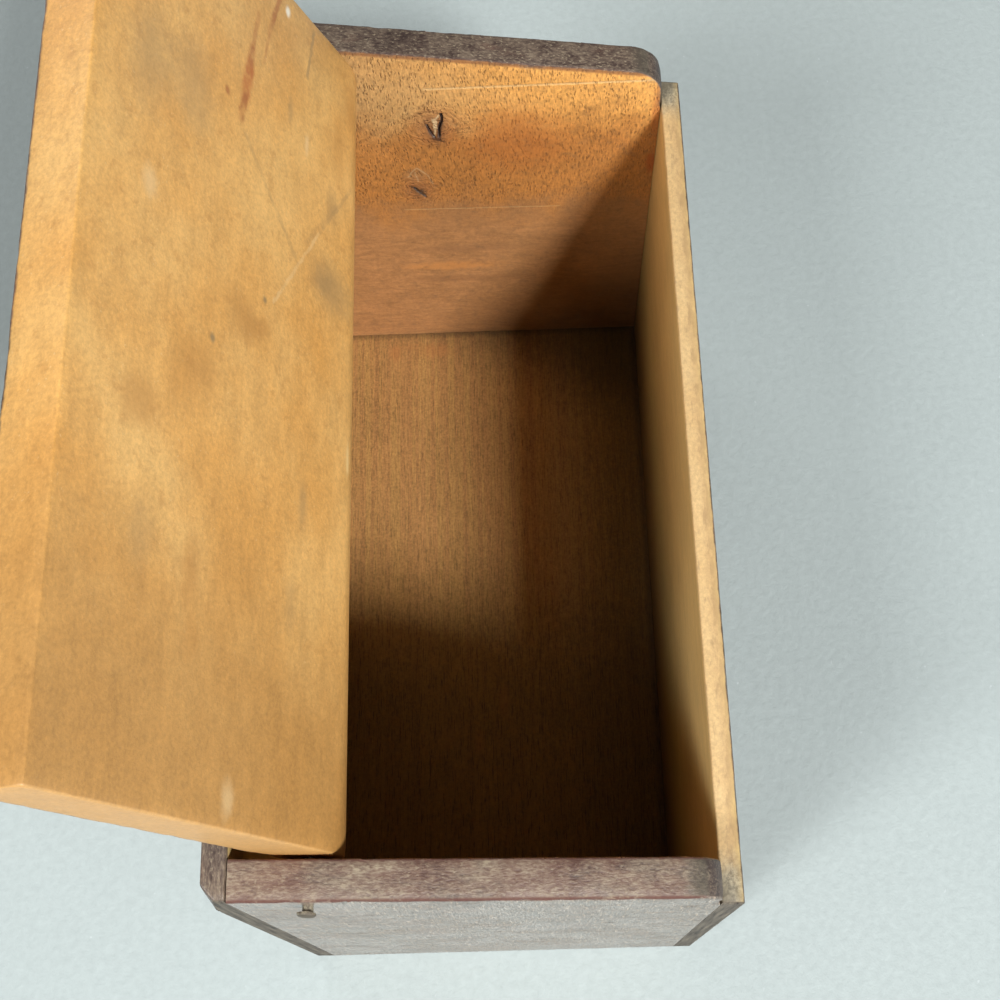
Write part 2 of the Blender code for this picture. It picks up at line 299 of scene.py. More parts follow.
class RecipeBoxSizes(bpy.types.PropertyGroup):
    """Sizes that the frame doesn't give by itself."""

    slant: angle_setting("Slant", "Slope of the box's top", math.radians(9.8))
    back_height: length_setting("Back height", "Height of the top at the back wall's inner face", 108.7)
    lid_thickness: length_setting("Lid thickness", "Thickness of the lid's board", 8.7)
    lid_inset: length_setting("Pivot inset", "From the hinge nails back to the back wall's inner face", 10.2)
    lid_back_gap: length_setting("Lid back gap", "Room between the closed lid and the back wall", 1.6)
    lid_back_round: length_setting("Lid back round", "Radius under the lid's back edge", 8.1)
    lid_far_ease: length_setting("Far corner", "How far the lid's far back corner is rounded off", 3.2)
    lid_near_ease: length_setting("Near corner", "How far the lid's near back corner is rounded off", 0.5)
    corner_round: length_setting("Front corner", "Radius of the ends' front top corners", 5.5)
    edge_wear: length_setting("Edge wear", "Width of the worn edges", 0.45)
    seam: length_setting("Seam", "Gap left where two boards meet", 0.04)
    spare: length_setting("Spare wood", "Height sawn off when a board's top is planed", 3.0)
    wall_gap: length_setting("Wall gap", "Room between the closed lid and the front wall's top", 0.3)
    grid: length_setting("Grid", "Spacing of the cuts that let a board bend and dent", 1.6)
    warp_width: length_setting("Warp width", "Size of the uneven places on the flat faces", 45)
    warp_depth: length_setting("Warp", "Unevenness of the flat faces", 0.05)
    dent_width: length_setting("Dent width", "Size of the dents along the edges", 2.2)
    dent_depth: length_setting("Dents", "Depth of the dents along the edges", 0.12)
    chip_width: length_setting("Chip width", "Size of the nicks along the edges", 5)
    chip_depth: length_setting("Chips", "Depth of the nicks along the edges", 0.25)
    crack_depth: length_setting("Knot cracks", "Depth of the cracks in the knots", 1.0)
    nail_shaft: length_setting("Nail shaft", "Diameter of the hinge nails", 1.6)
    nail_point: length_setting("Nail point", "Length of the hinge nails' points", 3.0)
    nail_bend: length_setting("Nail bend", "How far the hinge nails' heads sit off their shafts", 0.2)
    nail_lean: angle_setting("Nail lean", "How far the hinge nails' heads lean sideways", math.radians(3))
    nail_tilt: angle_setting("Nail tilt", "How far the hinge nails' heads look up", math.radians(8))
    hammer_width: length_setting("Hammer marks", "Size of the dents in the hinge nails", 0.9)
    hammer_depth: length_setting("Hammer depth", "Depth of the dents in the hinge nails", 0.05)
    front_corner_wear: length_setting("Front corners", "Rounding of the front wall's upright corners", 0.4)
    back_corner_wear: length_setting("Back corners", "Rounding of the back wall's upright corners", 0.5)
    brad_hole: length_setting("Brad hole", "Width of the hole over each brad's head", 1.7)
    hole_depth: length_setting("Brad depth", "Depth of the hole over each brad's head", 0.25)


class RecipeBoxColours(bpy.types.PropertyGroup):
    """Colours of the wood, the stain and the metal."""

    stain: colour_setting("Stain", "Dark stain on the outside", (0.042, 0.025, 0.021))
    stain_red: colour_setting("Red stain", "Where the stain has gone thin and red", (0.087, 0.038, 0.027))
    faded: colour_setting("Faded", "Stain that is worn thin", (0.150, 0.111, 0.080))
    rubbed: colour_setting("Rubbed", "Pale wood that shows through worn stain", (0.269, 0.220, 0.150))
    lid_bare: colour_setting("Lid wood", "Bare underside of the lid", (0.560, 0.275, 0.066))
    end_bare: colour_setting("End wood", "Bare inner faces of the end boards", (0.462, 0.193, 0.046))
    wall_bare: colour_setting("Wall wood", "Bare inner faces of the long walls", (0.585, 0.410, 0.160))
    floor_bare: colour_setting("Floor wood", "The bottom board", (0.294, 0.146, 0.046))
    table: colour_setting("Table", "The pale table top", (0.378, 0.427, 0.420))


class RecipeBoxStage(bpy.types.PropertyGroup):
    """The camera, the lamps and the table."""

    camera_place: FloatVectorProperty(
        name="Camera", description="Where the camera stands", default=(-0.09306, -0.00784, 0.30831),
        subtype="TRANSLATION",
    )
    camera_yaw: angle_setting("Yaw", "Turn of the camera's view", 0.05276)
    camera_pitch: angle_setting("Pitch", "Tilt of the camera away from straight down", 0.36739)
    camera_roll: angle_setting("Roll", "Roll of the camera", -0.08183)
    lens: FloatProperty(name="Lens", description="Focal length", default=52.232, subtype="DISTANCE_CAMERA")
    key_power: power_setting("Key lamp", "Power of the lamp that shines from the front", 23.7)
    side_power: power_setting("Side lamp", "Power of the lamp that shines from the back", 11.9)
    front_power: power_setting("Front fill", "Power of the low lamp in front", 5.7)
    back_power: power_setting("Back fill", "Power of the low lamp behind", 5.0)
    ambient: FloatProperty(name="Ambient", description="Strength of the light from all round", default=0.05)
    table_size: length_setting("Table size", "Width of the table top", 6000)


def sizes():
    """The sizes in use."""
    return bpy.context.scene.recipe_box_sizes


def colours():
    """The colours in use."""
    return bpy.context.scene.recipe_box_colours


def top_at(y):
    """Height of the slanted top plane, which the ends and the back wall share."""
    return sizes().back_height - (back_low.y - y) * math.tan(sizes().slant)


def slant_normal():
    """The slanted top's upward normal."""
    return Vector((0, -math.sin(sizes().slant), math.cos(sizes().slant)))


# Modelling by hand, in edit mode

def start_block(name, low, high):
    """Adds a cube between two corners, its place in its mesh, and opens it in edit mode."""
    bpy.ops.object.select_all(action="DESELECT")
    low, high = Vector(low), Vector(high)
    bpy.ops.mesh.primitive_cube_add(size=1, location=(low + high) / 2, scale=high - low)
    board = bpy.context.object
    board.name = name
    board.data.name = name
    bpy.ops.object.transform_apply(location=True, rotation=True, scale=True)
    bpy.ops.object.mode_set(mode="EDIT")
    return board


def end_editing():
    """Closes edit mode."""
    bpy.ops.object.mode_set(mode="OBJECT")


def pick_edges(board, wanted):
    """Selects the edges for which wanted(edge, middle, direction) holds."""
    bpy.ops.mesh.select_mode(type="EDGE")
    bpy.ops.mesh.select_all(action="DESELECT")
    bm = bmesh.from_edit_mesh(board.data)
    for edge in bm.edges:
        start, end = (vert.co for vert in edge.verts)
        edge.select_set(bool(wanted(edge, (start + end) / 2, (end - start).normalized())))
    bmesh.update_edit_mesh(board.data)


def pick_faces(board, wanted):
    """Selects the faces for which wanted(middle, normal) holds."""
    bpy.ops.mesh.select_mode(type="FACE")
    bpy.ops.mesh.select_all(action="DESELECT")
    bm = bmesh.from_edit_mesh(board.data)
    for face in bm.faces:
        face.select_set(bool(wanted(face.calc_center_median(), face.normal)))
    bmesh.update_edit_mesh(board.data)


def pick_points(board, wanted):
    """Selects the corners for which wanted(place) holds."""
    bpy.ops.mesh.select_mode(type="VERT")
    bpy.ops.mesh.select_all(action="DESELECT")
    bm = bmesh.from_edit_mesh(board.data)
    for vert in bm.verts:
        vert.select_set(bool(wanted(vert.co)))
    bmesh.update_edit_mesh(board.data)


def saw(point, normal, cut_off=False):
    """Cuts right through the board, and takes away what lies beyond the cut if asked."""
    bpy.ops.mesh.select_all(action="SELECT")
    bpy.ops.mesh.bisect(
        plane_co=point, plane_no=normal, use_fill=cut_off, clear_outer=cut_off, threshold=SAW_MERGE
    )


def soften_edges(board, width, open_edge):
    """Rounds the sharp edges that are open to wear."""
    pick_edges(
        board, lambda edge, at, run: edge.calc_face_angle(0) > SHARP_ANGLE and open_edge(at, run)
    )
    bpy.ops.mesh.bevel(offset=width, segments=3, profile=0.5, affect="EDGES")


def slice_board(board, step):
    """Cuts the board's faces into a grid, so that they can bend and dent."""
    points = [vert.co.copy() for vert in bmesh.from_edit_mesh(board.data).verts]
    for axis, normal in enumerate(AXES):
        low = min(point[axis] for point in points)
        high = max(point[axis] for point in points)
        count = round((high - low) / step)
        for number in range(1, count):
            saw(normal * (low + (high - low) * number / count), normal)


def clouds(name, size, contrast=1.0, brightness=1.0):
    """A cloudy texture for the Displace modifier."""
    made = bpy.data.textures.get(name)
    if made is None:
        made = bpy.data.textures.new(name, "CLOUDS")
        made.noise_scale = size
        made.contrast = contrast
        made.intensity = brightness
        made.use_clamp = True
    return made


def displace(board, texture, depth, group=""):
    """Sinks the surface along its normals by a texture, which runs from nought to one."""
    push = board.modifiers.new("push", "DISPLACE")
    push.texture = texture
    push.texture_coords = "LOCAL"
    push.strength = -depth
    push.mid_level = 0
    push.vertex_group = group
    bpy.ops.object.modifier_apply(modifier=push.name)


def wear(board, open_edge):
    """Dents the open edges and warps the faces, always inwards."""
    bm = bmesh.new()
    bm.from_mesh(board.data)
    bent = set()
    for edge in bm.edges:
        start, end = (vert.co for vert in edge.verts)
        is_open = open_edge((start + end) / 2, (end - start).normalized())
        if is_open and edge.calc_face_angle(0) > BENT_ANGLE:
            bent.update(vert.index for vert in edge.verts)
    bm.free()
    edges = board.vertex_groups.new(name="edges")
    edges.add(sorted(bent), 1.0, "REPLACE")
    displace(board, clouds("warp", sizes().warp_width), sizes().warp_depth)
    displace(board, clouds("dents", sizes().dent_width), sizes().dent_depth, "edges")
    chips = clouds("chips", sizes().chip_width, contrast=4.0, brightness=0.15)
    displace(board, chips, sizes().chip_depth, "edges")
    board.vertex_groups.clear()


def finish_piece(piece, body, slot, material, *nodes):
    """Shades a piece, gives it its material and ties it to the body that carries it."""
    bpy.ops.object.select_all(action="DESELECT")
    piece.select_set(True)
    bpy.context.view_layer.objects.active = piece
    bpy.ops.object.shade_smooth_by_angle(angle=SMOOTH_ANGLE)
    piece.data.materials.clear()
    piece.data.materials.append(material)
    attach(piece, body)
    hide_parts(*nodes)


# Materials, written as sums on sockets

class Value:
    """A socket of a node tree, on which sums can be written."""

    def __init__(self, tree, socket):
        self.tree = tree
        self.socket = socket

    def sum(self, operation, *others):
        """Another value, worked out by a Math node."""
        return self.tree.add("ShaderNodeMath", {"operation": operation}, dict(enumerate((self, *others))))

    def __add__(self, other):
        return self.sum("ADD", other)

    def __sub__(self, other):
        return self.sum("SUBTRACT", other)

    def __mul__(self, other):
        return self.sum("MULTIPLY", other)

    def __rsub__(self, other):
        return self.sum("MULTIPLY_ADD", -1.0, other)

    __radd__ = __add__
    __rmul__ = __mul__

    def larger(self, other):
        """The larger of two values."""
        return self.sum("MAXIMUM", other)

    def size(self):
        """The value without its sign."""
        return self.sum("ABSOLUTE")


class Nodes:
    """A node tree with one output."""

    def __init__(self, tree, kind_of_output):
        self.nodes = tree.nodes
        self.links = tree.links
        self.nodes.clear()
        self.output = self.add(kind_of_output, output=None)

    def add(self, kind, settings=None, values=None, output=0):
        """Adds a node: its settings first, then its sockets' values or links. Gives one of its outputs."""
        node = self.nodes.new(kind)
        for key, setting in (settings or {}).items():
            setattr(node, key, setting)
        for key, value in (values or {}).items():
            if isinstance(value, Value):
                self.links.new(value.socket, node.inputs[key])
            else:
                node.inputs[key].default_value = value
        return node if output is None else Value(self, node.outputs[output])

    def seen(self):
        """One where the camera sees this itself, nought where it only lights something else."""
        path = self.add("ShaderNodeLightPath", output=None)
        rays = ("Is Camera Ray", "Is Transmission Ray")
        straight, through = (Value(self, path.outputs[ray]) for ray in rays)
        return straight.larger(through)

    def end(self, shader):
        """Joins a shader to the output."""
        self.links.new(shader.socket, self.output.inputs["Surface"])


class Finish(Nodes):
    """The nodes of one material."""

    def __init__(self, name):
        self.material = bpy.data.materials.new(name)
        self.material.use_nodes = True
        super().__init__(self.material.node_tree, "ShaderNodeOutputMaterial")
        place = self.add("ShaderNodeTexCoord", output="Object")
        self.place = self.add("ShaderNodeVectorMath", {"operation": "SCALE"}, {0: place, "Scale": 1 / MM})
        split = self.add("ShaderNodeSeparateXYZ", {}, {0: self.place}, output=None)
        self.x, self.y, self.z = (Value(self, split.outputs[axis]) for axis in "XYZ")
        self.ragged = self.noise(0.55, 3, 0.6) - 0.5

    def stretched(self, scale, place=None):
        """The place in mm, scaled along each axis."""
        return self.add("ShaderNodeVectorMath", {"operation": "MULTIPLY"}, {0: place or self.place, 1: scale})

    def noise_at(self, place, scale, detail=2.0, roughness=0.5, distortion=0.0):
        """A cloudy value round a half, with features of about 1 / scale."""
        values = {"Vector": place, "Scale": scale, "Detail": detail, "Roughness": roughness}
        return self.add("ShaderNodeTexNoise", {}, {**values, "Distortion": distortion})

    def noise(self, *shape):
        """Such a value in mm: its scale, detail and roughness."""
        return self.noise_at(self.place, *shape)

    def grain(self, along, stretch, *shape):
        """Such a value, drawn out along one axis: a lower stretch draws it out further."""
        scale = [stretch if axis == along else 1.0 for axis in range(3)]
        return self.noise_at(self.stretched(scale), *shape)

    def step(self, value, low, high):
        """A soft step of a value, from nought at one level to one at the other."""
        return self.add(
            "ShaderNodeMapRange", {"interpolation_type": "SMOOTHSTEP"},
            {"Value": value, "From Min": low, "From Max": high},
        )

    def mix(self, share, first, second):
        """Two colours mixed by a share."""
        first, second = (
            colour if isinstance(colour, Value) else (*colour, 1) for colour in (first, second)
        )
        return self.add("ShaderNodeMix", {"data_type": "RGBA"}, {0: share, 6: first, 7: second}, output=2)

    def scaled(self, colour, factor):
        """A colour made lighter or darker by a value."""
        return self.add("ShaderNodeVectorMath", {"operation": "SCALE"}, {0: colour, "Scale": factor})

    def blot(self, u, v, centre, radii, soft=0.45):
        """One inside a ragged oval on a face with coordinates u and v in mm, nought outside."""
        across = (u - centre[0]) * (1 / radii[0])
        along = (v - centre[1]) * (1 / radii[1])
        reach = (across * across + along * along).sum("SQRT") + self.ragged * 1.1
        return self.step(reach, 1 + soft, 1 - soft)

    def stroke(self, u, v, start, end, width, wobble=0.5):
        """One along a line between two places on a face, nought elsewhere."""
        run = Vector(end) - Vector(start)
        length = run.length
        run.normalize()
        from_u = u - start[0]
        from_v = v - start[1]
        along = from_u * run.x + from_v * run.y
        apart = (from_v * run.x - from_u * run.y + self.ragged * wobble).size()
        ends = self.step((along - length / 2).size(), length / 2 + width, length / 2 - width)
        return self.step(apart, width, width * 0.35) * ends

    def blots(self, colour, u, v, marks, soft):
        """A colour with ragged ovals of other colours laid over it."""
        for centre, radii, other, share in marks:
            colour = self.mix(self.blot(u, v, centre, radii, soft) * share, colour, other)
        return colour

    def shader(self, colour, roughness, height, depth, layers=None):
        """A surface with this colour, roughness and height, and with other layers by name."""
        bump = self.add("ShaderNodeBump", {}, {"Height": height, "Distance": depth}, output="Normal")
        values = {"Base Color": colour, "Roughness": roughness, "Normal": bump, **(layers or {})}
        return self.add("ShaderNodeBsdfPrincipled", {}, {"Coat Roughness": COAT_ROUGHNESS, **values})

    def close(self, colour, roughness, height, depth, layers=None):
        """Joins such a surface to the output and gives the finished material."""
        self.end(self.shader(colour, roughness, height, depth, layers))
        return self.material


def stain_layers(finish, along, wear, red, flecks=0.5):
    """Worn dark stain: its colour, its relief and how far it is rubbed off, streaked along one axis."""
    palette = colours()
    fine = finish.grain(along, 0.30, 3.1, 4, 0.68)
    streak = finish.grain(along, 0.10, 0.9, 3, 0.55)
    patch = finish.noise(0.10, 3, 0.5)
    blotch = finish.noise(0.36, 3, 0.6)
    worn = fine * 0.85 + streak * 0.35 + patch * 0.40 + blotch * 0.40 + wear - 0.12
    thin = finish.step(finish.grain(along, 0.4, 0.3, 3, 0.55) + red, 0.42, 0.72)
    base = finish.scaled(finish.mix(thin, palette.stain, palette.stain_red), 0.55 + patch * 0.9)
    faded = finish.scaled(finish.mix(thin * 0.4, palette.faded, STAIN_WARM), 0.6 + fine * 0.8)
    colour = finish.mix(finish.step(worn, 0.60, 1.02), base, faded)
    fleck = finish.step(finish.grain(along, 0.45, 3.6, 3), 0.56, 0.69)
    rubbed = finish.step(worn, 0.90, 1.22).larger(fleck * finish.step(worn, 0.50, 0.80) * flecks)
    return finish.mix(rubbed, colour, palette.rubbed), fine * 0.7 + streak * 0.3, rubbed


def bare_layers(finish, wood, along, share):
    """Bare wood: fine grain along one axis over soft, broad clouds of colour."""
    grain = finish.grain(along, 0.06, 1.9, 3, 0.6)
    cloud = finish.noise(0.07, 3, 0.5)
    sand = finish.noise(1.3, 4, 0.7)
    tone = 1 + (grain - 0.5) * share + (cloud - 0.5) * 0.3 + (sand - 0.5) * 0.3
    return finish.scaled(wood, tone), grain * 0.6 + sand * 0.4


def below_slant(finish):
    """How far a place lies under the slanted top, in mm."""
    return finish.y * math.tan(sizes().slant) - finish.z + top_at(0) / MM


def knot_flow(finish):
    """The place on the far end board, bent round its knots as the grain is."""
    flow_y, flow_z = finish.y, finish.z
    for (knot_y, knot_z), radius in KNOT_RADII.items():
        from_y = finish.y - knot_y
        from_z = finish.z - knot_z
        bend = (from_y * from_y + from_z * from_z + radius ** 2 * 0.6).sum("POWER", -1.0) * radius ** 2
        flow_y = flow_y - from_y * bend
        flow_z = flow_z + from_z * bend
    return finish.add("ShaderNodeCombineXYZ", {}, {0: finish.x, 1: flow_y, 2: flow_z})


def end_bare_layers(finish, knotty):
    """The ends' bare inner faces: orange above, brown and wavy below, with short upright pores."""
    y, z = finish.y, finish.z
    place = knot_flow(finish) if knotty else finish.place
    sand = finish.noise_at(place, 1.5, 4, 0.7)
    cloud = finish.noise_at(place, 0.13, 3, 0.55)
    waver = (cloud - 0.5) * 30
    wood = finish.mix(finish.step(z + waver, 48, 66), END_LOWER, colours().end_bare)
    upper = finish.mix(finish.step(y + waver, 20, -16), END_UPPER_BACK, END_UPPER_FRONT)
    wood = finish.mix(finish.step(z + waver * 0.6, 76, 92), wood, upper)
    waves = finish.noise_at(finish.stretched((0.0, 0.09, 0.32), place), 1.0, 4, 0.6, 2.6)
    lower = finish.step(z + waver * 0.5, 60, 46)
    fibre = finish.noise_at(finish.stretched((0.0, 2.4, 0.55), place), 1.0, 3, 0.6)
    upper_half = finish.step(z + waver * 0.3, 50, 64)
    tone = (
        1 + (sand - 0.5) * 0.75 + (cloud - 0.5) * 0.5 + (waves - 0.5) * lower * 0.8
        + (fibre - 0.5) * upper_half * 1.3
    )
    wood = finish.scaled(wood, tone)
    cells = finish.add(
        "ShaderNodeTexVoronoi", {}, {"Vector": finish.stretched((0.0, 3.0, 0.66), place), "Scale": 1.0}
    )
    crowd = finish.step(finish.noise(0.4, 3), 0.24, 0.50)
    pores = finish.step(cells, 0.40, 0.14) * crowd * upper_half
    wood = finish.mix(pores * 0.4, wood, END_PORE)
    height = sand * 0.5 + fibre * upper_half * 0.6 - pores * 1.2
    rim = finish.step(below_slant(finish) + finish.ragged * 0.5, 1.3, 0.5)
    wood = finish.mix(rim * 0.85, wood, END_RIM)
    if knotty:
        return knot_layers(finish, wood, height)
    return wood, height, pores


def knot_layers(finish, wood, height):
    """What is round the far board's knots: halos, dark cracks with painted shade in their hollows, pale
    filler, two long scratches, and painted shade low in the front corner.
    """
    y, z = finish.y, finish.z
    for (knot_y, knot_z), radius in KNOT_RADII.items():
        from_y = (y - knot_y) * 0.8
        from_z = z - knot_z
        apart = (from_y * from_y + from_z * from_z).sum("SQRT")
        wave = (apart + (finish.noise(0.3, 3, 0.6) - 0.5) * 6) * (2 * math.pi / KNOT_RING)
        rings = wave.sum("SINE") * finish.step(apart, radius * 2.7, radius * 0.9)
        wood = finish.scaled(wood, 1 + rings * 0.08)
        height = height + rings * 0.35
        halo = finish.blot(y, z, (knot_y, knot_z), (radius * 1.25, radius * 1.6), 0.6)
        wood = finish.mix(halo * 0.5, wood, KNOT_HALO)
    wood = finish.blots(wood, y, z, END_MARKS, 0.6)
    # Dark wood in the sunk cracks, with painted shade in their hollows.
    crack_dark_and_shade = finish.step(finish.x, inner_x + 0.20, inner_x + 0.60)
    wood = finish.mix(crack_dark_and_shade * finish.step(below_slant(finish), 2, 4) * 0.6, wood, KNOT_DARK)
    for start, end, width, colour, share in KNOT_LINES:
        wood = finish.mix(finish.stroke(y, z, start, end, width, 1.1) * share, wood, colour)
    # Painted shade low in the far board's front corner.
    corner_shade_painted = finish.step(z + y * 0.9 + finish.ragged * 10, 28, -24)
    wood = finish.scaled(wood, 1 - corner_shade_painted * 0.62)
    for start, end, width, share in END_SCRATCHES:
        scratch = finish.stroke(y, z, start, end, width, 0.2)
        wood = finish.mix(scratch * share, wood, SCRATCH_PALE)
        height = height - scratch * share
    return wood, height, crack_dark_and_shade


def end_board_material(name, side, knotty):
    """An end board: stained outside and on its edges, bare inside."""
    finish = Finish(name)
    depth = finish.x * side - inner_x
    middle = (outer_x - inner_x) / 2
    outside = finish.step(depth + finish.ragged * 0.35, 0.0, 0.3)
    top = finish.step(below_slant(finish), 1.2, 0.5)
    wear = top * (END_WEAR_FAR if knotty else END_WEAR_NEAR) - 0.16
    front_y = front_high.y / MM
    front = finish.step(finish.y + finish.ragged * 3, front_y + 7, front_y + 3)
    red = top * (-0.12 if knotty else 0.12) - front * 0.3
    stain, relief, rubbed = stain_layers(finish, 1, wear - front * top * 0.06, red, 0.9 if knotty else 0.5)
    stain = finish.mix(front * top * 0.7, stain, finish.scaled(STAIN_GREEN, 0.4 + relief * 1.4))
    arris = finish.step((depth - middle).size(), 2.3, 2.75) * top
    side_face = finish.step(depth + finish.ragged * 0.1, 5.3, 5.7)
    side_face = side_face * finish.step(below_slant(finish) + finish.ragged * 0.3, 0.4, 0.8)
    dash = finish.noise_at(finish.stretched((1.0, 0.16, 0.8)), 0.9, 3, 0.6)
    dash = finish.step(dash, 0.62, 0.70) * side_face
    stain = finish.mix(dash * 0.7, stain, [part * 0.4 for part in colours().stain])
    upright = finish.noise_at(finish.stretched((1.0, 1.9, 0.2)), 1.0, 4, 0.72)
    dust = finish.step(upright + relief * 0.3, 0.60, 0.82) * side_face
    grit = finish.noise_at(finish.stretched((1.0, 3.4, 0.36)), 1.0, 3, 0.7)
    # Dust in the upright streaks, and a painted sheen: an even pale share over the whole outer face.
    stain = finish.mix(dust.larger(side_face * 0.3) * 0.75, stain, STAIN_DUST_AND_SHEEN)
    stain = finish.scaled(stain, (1 + (grit - 0.5) * side_face * 3.0) * (1 - side_face * 0.08))
    bright = finish.step(finish.noise(0.5, 3, 0.7), 0.56, 0.66)
    stain = finish.mix(arris * (1 - bright * 0.8) * (0.3 if knotty else 0.85), stain, STAIN_ARRIS)
    bare, grain, dull = end_bare_layers(finish, knotty)
    colour = finish.mix(outside, bare, stain)
    marks = relief * (1 - side_face * 0.4) + dust * 0.35 - dash * 0.3 + grit * side_face * 0.5
    height = finish.mix(outside, grain, marks)
    blotchy = finish.step(finish.noise(0.09, 3, 0.6), 0.36, 0.62)
    roughness = (
        0.62 - outside * 0.18 - side_face * 0.16 + rubbed * 0.1 + dash * 0.22 + arris * 0.4 + dust * 0.1
        + (1 - outside) * dull * 0.3
    )
    coat = side_face * (1 - dash) * upright * (0.26 + blotchy * 0.66) * (grit * 3.8 - 1.0)
    return finish.close(colour, roughness, height, 0.12 * MM, {"Coat Weight": coat})


def end_grain(finish, stain, end_face):
    """A wall's stain with greenish, upright grain on its end faces, and that grain's relief."""
    upright = finish.noise_at(finish.stretched((1.0, 1.5, 0.07)), 1.0, 4, 0.7)
    green = finish.scaled(STAIN_GREEN, upright * 5.6 - 1.75)
    return finish.mix(end_face * 0.85, stain, green), end_face * upright


def front_wall_material():
    """The front wall: stained outside and at its ends, bare inside and along its top, its inner face darkened
    towards the bottom by painted shade.
    """
    finish = Finish("front_wall_wood")
    palette = colours()
    half = front_high.x / MM
    inward = finish.y - front_low.y / MM
    under_top = front_high.z / MM - finish.z
    reach = finish.x.size() + finish.ragged * 5
    outer_face = finish.step(inward + finish.ragged * 0.55, 0.5, 0.15)
    end_face = finish.step(finish.x.size(), half - 0.5, half - 0.25)
    stained = outer_face.larger(finish.step(finish.z, 0.5, 0.2)).larger(end_face)
    stain, relief, rubbed = stain_layers(finish, 0, -0.14, -0.05)
    drift = finish.ragged * 6
    # Painted shade: the bare inner face grows darker towards the bottom.
    wood = finish.mix(finish.step(finish.z + drift, 6, 42), WALL_LOW_SHADE, WALL_MID_SHADE)
    wood = finish.mix(finish.step(finish.z + drift, 26, 76), wood, palette.wall_bare)
    bare, grain = bare_layers(finish, wood, 0, 0.6)
    top = finish.step(under_top, 1.1, 0.3)
    speckle = finish.noise(1.7, 4, 0.75)
    pale = finish.scaled(
        finish.mix(finish.noise(0.12, 2), WALL_TOP, WALL_TOP_WARM), 0.50 + speckle * 0.94
    )
    smear = finish.grain(0, 0.35, 0.8, 3, 0.65) + finish.step(inward, 2.4, 0.4) * 0.22
    pale = finish.mix(finish.step(smear, 0.57, 0.74) * 0.5, pale, WALL_TOP_DARK)
    pale = finish.mix(finish.step(inward + finish.ragged * 1.5, 2.7, 0.9) * 0.4, pale, WALL_TOP_BROWN)
    grey = finish.mix(finish.step(speckle, 0.30, 0.70), WALL_END_DARK, WALL_END)
    pale = finish.mix(finish.step(reach, half - 9.5, half - 2.5), pale, grey)
    tip = finish.step(reach + inward, half - 2.6, half + 1.8)
    pale = finish.mix(tip * 0.8, pale, finish.scaled(WALL_END_DARK, 0.5 + speckle))
    bare = finish.mix(top, bare, pale)
    stain, grooves = end_grain(finish, stain, end_face)
    colour = finish.mix(stained, bare, stain)
    height = finish.mix(stained, grain * 0.5 + speckle * 0.5, relief + grooves)
    return finish.close(colour, 0.54 - stained * 0.15 + rubbed * 0.14 + end_face * 0.42, height, 0.10 * MM)


def back_wall_material():
    """The back wall: stained outside, along its top and at its ends, bare inside."""
    finish = Finish("back_wall_wood")
    palette = colours()
    outward = finish.y - back_low.y / MM
    reach = finish.x.size()
    top = finish.step(below_slant(finish) + finish.ragged * 0.6, 0.9, 0.4)
    ends = finish.step(reach, inner_x - 0.2, inner_x)
    outside = finish.step(outward + finish.ragged * 0.4, 0.2, 0.7).larger(top).larger(ends)
    stain, relief, rubbed = stain_layers(finish, 0, top * 0.06 - 0.12, -0.1)
    bare, grain = bare_layers(finish, palette.wall_bare, 0, 0.35)
    end_face = finish.step(reach, outer_x - 0.5, outer_x - 0.2)
    stain, grooves = end_grain(finish, stain, end_face)
    colour = finish.mix(outside, bare, stain)
    height = finish.mix(outside, grain, relief + grooves)
    return finish.close(colour, 0.54 - outside * 0.15 + rubbed * 0.14 + end_face * 0.42, height, 0.12 * MM)


def floor_material():
    """The bottom board: brown, with fine straight pores along the box, and painted shadows of the near end
    board and the front wall.
    """
    finish = Finish("bottom_board_wood")
    palette = colours()
    pores = finish.grain(0, 0.08, 4.2, 3, 0.68)
    lines = finish.grain(0, 0.012, 0.9, 2, 0.5)
    sand = finish.noise(1.8, 3, 0.7)
    cloud = finish.noise(0.06, 2)
    # Painted shadows: near is the near end board's shadow, front is the front wall's shadow.
    near = finish.step(finish.x + finish.ragged * 20, 14, -22)
    front = finish.step(finish.y + finish.ragged * 8, -4, -34)
    tone = 1.12 + (pores - 0.5) * 1.3 + (lines - 0.5) * 0.5 + (cloud - 0.5) * 0.35 + (sand - 0.5) * 1.5
    wood = finish.mix(finish.step(lines, 0.4, 0.6), palette.floor_bare, FLOOR_GOLD)
    # Painted shade: an olive tint inside those painted shadows.
    wood = finish.mix(near.larger(front) * 0.7, wood, FLOOR_SHADE_OLIVE)
    colour = finish.scaled(wood, tone)
    # The pores show darker inside the painted shadow of the near end board.
    colour = finish.mix(finish.step(pores, 0.44, 0.32) * (0.4 + near * 0.5), colour, FLOOR_PORE)
    # Painted shade in the far front corner, then the three painted shades are laid on together.
    corner = finish.step(finish.y * 0.5 - finish.x + finish.ragged * 8, -52, -72)
    shade = (1 - near * 0.44) * (1 - front * (0.56 - near * 0.16)) * (1 - corner * 0.5)
    colour = finish.scaled(colour, shade)
    colour = finish.blots(colour, finish.x, finish.y, FLOOR_MARKS, 0.7)
    edge = finish.step(finish.y.size(), *FLOOR_EDGE_Y).larger(finish.step(finish.x.size(), *FLOOR_EDGE_X))
    colour = finish.scaled(colour, 1 - edge * 0.45)
    return finish.close(colour, 0.5 + pores * 0.15, pores + sand * 0.4, 0.09 * MM)


